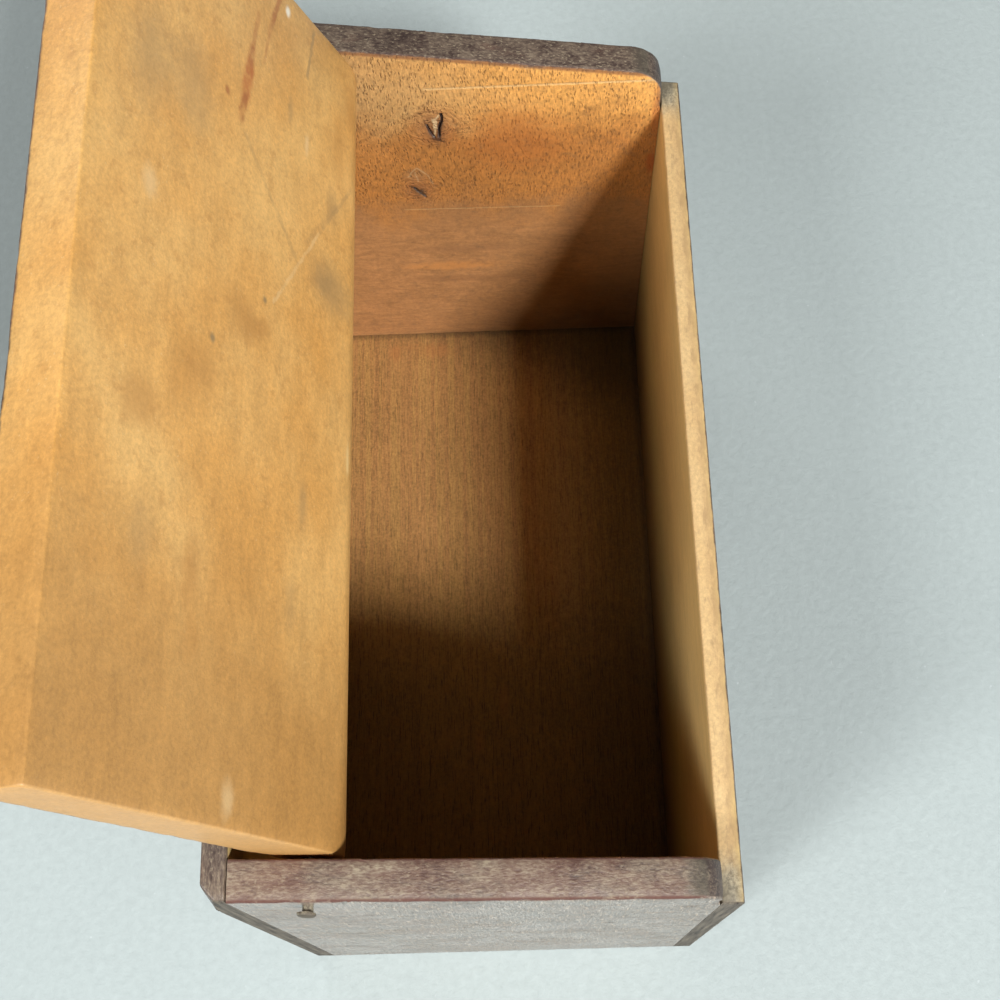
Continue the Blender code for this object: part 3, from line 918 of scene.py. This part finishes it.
def lid_material():
    """The lid, in its open place: bare golden underside and ends, stained outer face, with painted shade at
    the near end.
    """
    finish = Finish("lid_wood")
    turn = lid_opened - sizes().slant
    offset = finish.add(
        "ShaderNodeVectorMath", {"operation": "SUBTRACT"}, {0: finish.place, 1: [part / MM for part in pivot]}
    )
    outwards, across = (
        finish.add("ShaderNodeVectorMath", {"operation": "DOT_PRODUCT"}, {0: offset, 1: axis}, output="Value")
        for axis in ((0, math.sin(turn), math.cos(turn)), (0, -math.cos(turn), math.sin(turn)))
    )
    half = sizes().lid_thickness / 2 / MM
    outside = finish.step(outwards + finish.ragged * 0.8, half - 0.8, half - 0.3)
    stain, relief, rubbed = stain_layers(finish, 0, -0.1, 0.05)
    sand = finish.noise(1.6, 4, 0.75)
    cloud = finish.noise(0.055, 3, 0.5)
    soft = finish.grain(0, 0.35, 0.4, 4, 0.6)
    wood = finish.mix(0.1 + finish.step(cloud, 0.22, 0.78) * 0.8, colours().lid_bare, LID_PALE)
    tone = 1 + (sand - 0.5) * 0.9 + (soft - 0.5) * 0.5 + (cloud - 0.5) * 0.2
    bare = finish.scaled(wood, tone)
    mottle = finish.noise(0.5, 4, 0.7)
    bare = finish.mix(finish.step(mottle, 0.52, 0.72) * 0.42, bare, LID_BROWN)
    fluff = finish.step(finish.noise(2.2, 2), 0.66, 0.74)
    bare = finish.mix(fluff * 0.35, bare, LID_DUST)
    bare = finish.scaled(bare, 1 - finish.step(finish.x + finish.ragged * 14, 40, 74) * 0.20)
    # Painted shade at the lid's near end.
    near = finish.step(finish.x + finish.ragged * 10 + cloud * 12, -14, -52)
    bare = finish.mix(near * 0.8, bare, finish.scaled(LID_NEAR_SHADE, tone))
    bare = finish.blots(bare, finish.x, across, LID_MARKS, 0.7)
    patchy = finish.step(finish.noise(0.35, 3, 0.6), 0.38, 0.58)
    for start, end, width, colour, share in LID_STREAKS:
        streak = finish.stroke(finish.x, across, start, end, width, 1.0)
        bare = finish.mix(streak * (0.5 + patchy * 0.5) * share, bare, colour)
    end_face = finish.step(finish.x.size(), lid_high.x / MM - 0.5, lid_high.x / MM - 0.2)
    bare = finish.mix(end_face * 0.25, bare, LID_END)
    colour = finish.mix(outside, bare, stain)
    height = finish.mix(outside, sand * 0.6 + soft * 0.4, relief)
    return finish.close(colour, 0.46 - outside * 0.1 + rubbed * 0.12, height, 0.08 * MM)


def steel_material(name, pale):
    """Old steel: dull brown-grey with darker and rubbed places."""
    finish = Finish(name)
    rust = finish.noise(1.3, 4, 0.6)
    fine = finish.noise(6.0, 3, 0.6)
    head = finish.step(finish.x.size(), outer_x + 1.15, outer_x + 1.3)
    colour = finish.mix(finish.step(rust, 0.42, 0.6).larger(head), pale, RUST)
    colour = finish.scaled(colour, 0.6 + fine * 0.8)
    metallic = finish.step(rust, 0.66, 0.36) * 0.6
    return finish.close(colour, 0.4 + rust * 0.25, fine, 0.04 * MM, {"Metallic": metallic})


def table_material():
    """Pale paint with a fine orange-peel surface and a few specks."""
    finish = Finish("table_paint")
    peel = finish.noise(0.55, 3, 0.6)
    cloud = finish.noise(0.035, 3, 0.5)
    speck = finish.step(finish.noise(0.45, 2, 0.5), 0.735, 0.78)
    colour = finish.scaled(colours().table, 0.86 + peel * 0.22 + cloud * 0.06)
    colour = finish.mix(speck * 0.4, colour, TABLE_SPECK)
    shine = {"Specular IOR Level": TABLE_SHINE}
    paint = finish.shader(colour, 0.6 + peel * 0.1, peel, 0.14 * MM, shine)
    away = finish.add("ShaderNodeVectorMath", {"operation": "LENGTH"}, {0: finish.place}, output="Value")
    glow = finish.add("ShaderNodeEmission", {}, {"Color": (*BACKDROP, 1)})
    faded = finish.step(away, *TABLE_FADES_OUT) * finish.seen()
    finish.end(finish.add("ShaderNodeMixShader", {}, {0: faded, 1: paint, 2: glow}))
    return finish.material


# The boards

def outer_edge(at, run):
    """Whether an edge of an end board is open to wear, and not hidden in a joint."""
    if abs(run.z) > ALIGNED_SHARE:
        return at.y < 0 and at.z > front_high.z
    if at.y > back_low.y - MM:
        return False
    return at.z > TOP_SHARE * back_high.z or (at.z < MM and abs(at.x) > (right_low.x + right_high.x) / 2)


def make_end(side, name, node, knotty=False):
    """One end board, between the walls, with its slanted top and rounded front corner."""
    size = sizes()
    low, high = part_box(node)
    low = Vector((low.x, front_high.y + size.seam, low.z))
    high = Vector((high.x, back_low.y - size.seam, high.z + size.spare))
    board = start_block(name, low, high)
    saw(Vector((0, 0, top_at(0))), slant_normal(), cut_off=True)
    corner = top_at(low.y)

    def front_edge(edge, at, run):
        return abs(run.x) > ALIGNED_SHARE and at.y < 0 and abs(at.z - corner) < MM

    pick_edges(board, front_edge)
    bpy.ops.mesh.bevel(offset=size.corner_round, segments=12, profile=0.5, affect="EDGES")
    saw(Vector((0, 0, front_high.z)), AXES[2])
    soften_edges(board, size.edge_wear, outer_edge)
    slice_board(board, size.grid)
    if knotty:
        crack_knots(board)
    end_editing()
    wear(board, outer_edge)
    finish_piece(board, "box", "stained_wood", end_board_material(name + "_wood", side, knotty), node)


def crack_knots(board):
    """Refines the wood round each knot, then pushes its cracks in."""
    for (knot_y, knot_z), radius in KNOT_RADII.items():
        def near(at, normal):
            from_y = abs(at.y / MM - knot_y) / radius
            from_z = abs(at.z / MM - knot_z) / radius
            return normal.x < -ALIGNED_SHARE and from_y < KNOT_WIDTH_SHARE and from_z < KNOT_HEIGHT_SHARE

        pick_faces(board, near)
        bpy.ops.mesh.subdivide(number_cuts=8)
    for places, width, depth in KNOT_CRACKS:
        for depth_share, width_share in CRACK_SHARES:
            def cracked(at):
                return at.x / MM < inner_x + CRACK_REACH and path_distance(at, places) < width * width_share

            pick_points(board, cracked)
            bpy.ops.transform.translate(value=(depth_share * depth * sizes().crack_depth, 0, 0))


def path_distance(at, places):
    """How far a point is from a path on the end board, in mm."""
    point = Vector((at.y / MM, at.z / MM))
    least = math.inf
    for start, end in zip(places, places[1:]):
        start, run = Vector(start), Vector(end) - Vector(start)
        share = min(max((point - start).dot(run) / run.length_squared, 0), 1)
        least = min(least, (point - start - run * share).length)
    return least


def make_wall(name, node, inner, outer, height_of_top, corner_wear, material, chipped=False):
    """One long wall, over the ends' edges, with its top planed to the slant and its brad holes."""
    size = sizes()
    low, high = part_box(node)
    board = start_block(name, low, high + Vector((0, 0, size.spare)))
    saw(Vector((0, inner, height_of_top)), slant_normal(), cut_off=True)

    def open_edge(at, run):
        return abs(run.z) < ALIGNED_SHARE or abs(at.y - outer) < abs(at.y - inner)

    pick_edges(board, lambda edge, at, run: abs(run.z) > ALIGNED_SHARE and abs(at.y - outer) < MM)
    bpy.ops.mesh.bevel(offset=corner_wear, segments=6, profile=0.5, affect="EDGES")
    if chipped:
        corner = Vector((low.x, outer, height_of_top - (inner - outer) * math.tan(size.slant)))
        saw(
            corner + Vector((BACK_CHIP[0] * MM, 0, 0)),
            Vector((-1 / BACK_CHIP[0], 1 / BACK_CHIP[1], 1 / BACK_CHIP[2])).normalized(), cut_off=True,
        )
    soften_edges(board, size.edge_wear, open_edge)
    slice_board(board, size.grid)
    end_editing()
    wear(board, open_edge)
    heads = [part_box(brad) for brad in frame["nodes"] if "brad" in brad]
    heads = [(low + high) / 2 for low, high in heads if (low.y + high.y) * outer > 0]
    sink_holes(board, heads, outer)
    finish_piece(board, "box", "stained_wood", material, node)


def sink_holes(board, heads, outer):
    """Drills a shallow round hole over each brad's head."""
    size = sizes()
    bpy.ops.object.select_all(action="DESELECT")
    for number, head in enumerate(heads):
        bpy.ops.mesh.primitive_cylinder_add(
            vertices=20, radius=size.brad_hole / 2, depth=2 * size.hole_depth,
            location=(head.x, outer, head.z), rotation=(math.pi / 2, 0, 0),
        )
        if number == 0:
            cutter = bpy.context.object
            bpy.ops.object.transform_apply(location=True, rotation=True, scale=True)
            bpy.ops.object.mode_set(mode="EDIT")
    end_editing()
    drill = board.modifiers.new("drill", "BOOLEAN")
    drill.operation = "DIFFERENCE"
    drill.object = cutter
    bpy.context.view_layer.objects.active = board
    bpy.ops.object.modifier_apply(modifier=drill.name)
    bpy.data.objects.remove(cutter)


def extrude(length):
    """Draws the picked faces out along X."""
    bpy.ops.mesh.extrude_region_move(
        TRANSFORM_OT_translate={"value": (length, 0, 0), "orient_type": "GLOBAL"}
    )


def make_hinge_nail(name, node, side, material):
    """A driven nail: a round shaft and a domed, slightly bent head."""
    size = sizes()
    low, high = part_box(node)
    face = side * right_high.x
    tip, top = (high.x, low.x) if side < 0 else (low.x, high.x)
    shaft = size.nail_shaft / 2
    bpy.ops.object.select_all(action="DESELECT")
    bpy.ops.mesh.primitive_cylinder_add(
        vertices=28, radius=shaft, depth=abs(face - tip) - size.nail_point,
        location=((face + tip + side * size.nail_point) / 2, pivot.y, pivot.z), rotation=(0, math.pi / 2, 0),
    )
    nail = bpy.context.object
    nail.name = nail.data.name = name
    bpy.ops.object.transform_apply(location=True, rotation=True, scale=True)
    bpy.ops.object.mode_set(mode="EDIT")
    pick_faces(nail, lambda at, normal: normal.x * side > ALIGNED_SHARE)
    head = (high.z - low.z) / 2 * NAIL_WIDTH_SHARE
    reach = abs(top - face) * NAIL_REACH_SHARE
    for along, radius in ((NAIL_SHAFT_SHARE, 1.0), (NAIL_FLARE_SHARE, head / shaft), *NAIL_HEAD_SHARES):
        extrude(side * along * reach)
        bpy.ops.transform.resize(value=(1, radius, radius), center_override=(0, pivot.y, pivot.z))
    pick_points(nail, lambda at: (at.x - face) * side > NAIL_BEND_SHARE * reach)
    bpy.ops.transform.translate(value=(0, size.nail_bend, 0))
    centre = (face + side * reach * NAIL_TURN_SHARE, pivot.y + size.nail_bend, pivot.z)
    for turn, around in ((-side * size.nail_lean, "Z"), (side * size.nail_tilt, "Y")):
        bpy.ops.transform.rotate(value=turn, orient_axis=around, orient_type="GLOBAL", center_override=centre)

    def point_face(at, normal):
        return normal.x * side < -ALIGNED_SHARE and (at.x - face) * side < -size.nail_point

    pick_faces(nail, point_face)
    extrude(-side * size.nail_point)
    tip_share = NAIL_TIP_SHARE
    bpy.ops.transform.resize(value=(1, tip_share, tip_share), center_override=(0, pivot.y, pivot.z))
    end_editing()
    displace(nail, clouds("hammer", size.hammer_width), size.hammer_depth)
    finish_piece(nail, "box", "nail_steel", material, node)


class RECIPEBOX_OT_stage(bpy.types.Operator):
    """Sets the camera, the lamps, the world and the table"""

    bl_idname = "recipe_box.stage"
    bl_label = "Stage"

    def execute(self, context):
        stage = context.scene.recipe_box_stage
        data = bpy.data.cameras.new("camera")
        data.lens = stage.lens
        data.clip_start = CAMERA_NEAREST
        camera = bpy.data.objects.new("camera", data)
        context.scene.collection.objects.link(camera)
        turn = (
            Matrix.Rotation(stage.camera_yaw - math.pi / 2, 4, "Z")
            @ Matrix.Rotation(stage.camera_pitch, 4, "X")
            @ Matrix.Rotation(stage.camera_roll, 4, "Z")
        )
        camera.matrix_world = Matrix.Translation(stage.camera_place) @ turn
        context.scene.camera = camera
        context.scene.view_settings.view_transform = "Standard"
        for name, power, direction, size in LAMPS:
            self.lamp(context, name, direction, size, getattr(stage, power))
        self.world(context, stage)
        self.table(context, stage)
        return {"FINISHED"}

    def lamp(self, context, name, direction, size, power):
        """A rectangular soft lamp that looks at the box's near front corner."""
        light = bpy.data.lights.new(name, "AREA")
        light.shape = "RECTANGLE"
        light.size, light.size_y = size
        light.energy = power
        lamp = bpy.data.objects.new(name, light)
        context.scene.collection.objects.link(lamp)
        corner = Vector((left_high.x, front_high.y, front_high.z))
        towards = Vector(direction).normalized()
        lamp.location = corner + towards * LAMP_DISTANCE
        upwards = towards.cross(AXES[0]).normalized()
        lamp.matrix_world = Matrix.Translation(lamp.location) @ Matrix(
            (upwards.cross(towards), upwards, towards)
        ).transposed().to_4x4()

    def world(self, context, stage):
        """Low light from all round, and a pale backdrop where the camera sees past the table."""
        world = bpy.data.worlds.new("studio")
        context.scene.world = world
        world.use_nodes = True
        nodes = Nodes(world.node_tree, "ShaderNodeOutputWorld")
        dim = nodes.add("ShaderNodeBackground", {}, {"Color": (*DAYLIGHT, 1), "Strength": stage.ambient})
        pale = nodes.add("ShaderNodeBackground", {}, {"Color": (*BACKDROP, 1), "Strength": 1.0})
        nodes.end(nodes.add("ShaderNodeMixShader", {}, {0: nodes.seen(), 1: dim, 2: pale}))

    def table(self, context, stage):
        """The pale table top that the box stands on."""
        bpy.ops.object.select_all(action="DESELECT")
        bpy.ops.mesh.primitive_plane_add(size=stage.table_size)
        table = context.object
        table.name = "table_top"
        table.data.materials.append(table_material())


class RECIPEBOX_OT_ends(bpy.types.Operator):
    """Makes the two end boards, the far one with its knots"""

    bl_idname = "recipe_box.ends"
    bl_label = "End boards"

    def execute(self, context):
        make_end(-1, "left_end_board", "left_end")
        make_end(1, "right_end_board", "right_end", knotty=True)
        return {"FINISHED"}


class RECIPEBOX_OT_walls(bpy.types.Operator):
    """Makes the low front wall and the tall back wall"""

    bl_idname = "recipe_box.walls"
    bl_label = "Long walls"

    def execute(self, context):
        size = sizes()
        front_top = top_at(front_high.y) - size.lid_thickness / math.cos(size.slant) - size.wall_gap
        make_wall(
            "front_wall_board", "front_wall", front_high.y, front_low.y, front_top,
            size.front_corner_wear, front_wall_material(),
        )
        make_wall(
            "back_wall_board", "back_wall", back_low.y, back_high.y, size.back_height,
            size.back_corner_wear, back_wall_material(), chipped=True,
        )
        return {"FINISHED"}


class RECIPEBOX_OT_bottom(bpy.types.Operator):
    """Makes the bottom board"""

    bl_idname = "recipe_box.bottom"
    bl_label = "Bottom board"

    def execute(self, context):
        seam = sizes().seam
        low = Vector((left_high.x + seam, front_high.y + seam, floor_low.z))
        high = Vector((right_low.x - seam, back_low.y - seam, floor_high.z))
        board = start_block("floor_board", low, high)
        slice_board(board, sizes().grid * 2)
        end_editing()
        displace(board, clouds("warp", sizes().warp_width), sizes().warp_depth)
        finish_piece(board, "box", "bottom_wood", floor_material(), "bottom_board")
        return {"FINISHED"}


class RECIPEBOX_OT_lid(bpy.types.Operator):
    """Makes the lid and swings it open about its nails"""

    bl_idname = "recipe_box.lid"
    bl_label = "Lid"

    def execute(self, context):
        size = sizes()
        half = size.lid_thickness / 2
        reach = (pivot.y - front_low.y) / math.cos(size.slant)
        low = pivot + Vector((lid_low.x, -reach, -half))
        high = pivot + Vector((lid_high.x, size.lid_inset - size.lid_back_gap, half))
        board = start_block("lid_board", low, high)

        def back_edge(edge, at, run):
            return abs(run.x) > ALIGNED_SHARE and at.y > pivot.y and at.z < pivot.z

        pick_edges(board, back_edge)
        bpy.ops.mesh.bevel(offset=size.lid_back_round, segments=16, profile=0.5, affect="EDGES")
        cuts = 6
        for side, end, ease in ((-1, lid_low.x, size.lid_near_ease), (1, lid_high.x, size.lid_far_ease)):
            centre = Vector((end - side * ease, high.y - ease, pivot.z))
            for number in range(1, cuts):
                angle = math.radians(90 * number / cuts)
                outwards = Vector((side * math.sin(angle), math.cos(angle), 0))
                saw(centre + outwards * ease, outwards, cut_off=True)
        soften_edges(board, size.edge_wear, lambda at, run: True)
        slice_board(board, size.grid)
        end_editing()
        wear(board, lambda at, run: True)
        bpy.ops.object.mode_set(mode="EDIT")
        bpy.ops.mesh.select_all(action="SELECT")
        bpy.ops.transform.rotate(
            value=lid_opened - size.slant, orient_axis="X", orient_type="GLOBAL", center_override=pivot
        )
        end_editing()
        finish_piece(board, "lid", "lid_wood", lid_material(), "lid")
        return {"FINISHED"}


class RECIPEBOX_OT_nails(bpy.types.Operator):
    """Makes the two hinge nails and gives the brads their dark steel"""

    bl_idname = "recipe_box.nails"
    bl_label = "Nails and brads"

    def execute(self, context):
        material = steel_material("hinge_nail_steel", STEEL)
        make_hinge_nail("left_hinge_pin", "left_hinge_nail", -1, material)
        make_hinge_nail("right_hinge_pin", "right_hinge_nail", 1, material)
        dark = steel_material("brad_steel", BRAD_STEEL)
        for node, shown in frame["nodes"].items():
            if "brad" in node:
                shown.data.materials.clear()
                shown.data.materials.append(dark)
        return {"FINISHED"}


class RECIPEBOX_PT_sidebar(bpy.types.Panel):
    """The recipe box's tools and settings"""

    bl_idname = "RECIPEBOX_PT_sidebar"
    bl_label = "Recipe Box"
    bl_space_type = "VIEW_3D"
    bl_region_type = "UI"
    bl_category = "Recipe Box"

    def draw(self, context):
        for operator in OPERATORS:
            self.layout.operator(operator.bl_idname)
        for group in (
            context.scene.recipe_box_sizes, context.scene.recipe_box_colours, context.scene.recipe_box_stage
        ):
            column = self.layout.column()
            for name in group.__annotations__:
                column.prop(group, name)


GROUPS = {
    "recipe_box_sizes": RecipeBoxSizes,
    "recipe_box_colours": RecipeBoxColours,
    "recipe_box_stage": RecipeBoxStage,
}
OPERATORS = (
    RECIPEBOX_OT_stage,
    RECIPEBOX_OT_ends,
    RECIPEBOX_OT_walls,
    RECIPEBOX_OT_bottom,
    RECIPEBOX_OT_lid,
    RECIPEBOX_OT_nails,
)


def register():
    """Adds the classes and their settings to Blender."""
    for made in (*GROUPS.values(), *OPERATORS, RECIPEBOX_PT_sidebar):
        bpy.utils.register_class(made)
    for name, group in GROUPS.items():
        setattr(bpy.types.Scene, name, PointerProperty(type=group))


def unregister():
    """Takes them out again."""
    for name in GROUPS:
        delattr(bpy.types.Scene, name)
    for made in reversed((*GROUPS.values(), *OPERATORS, RECIPEBOX_PT_sidebar)):
        bpy.utils.unregister_class(made)


def main():
    """Builds the box."""
    register()
    for operator in OPERATORS:
        group, name = operator.bl_idname.split(".")
        getattr(getattr(bpy.ops, group), name)()


if __name__ == "__main__":
    main()
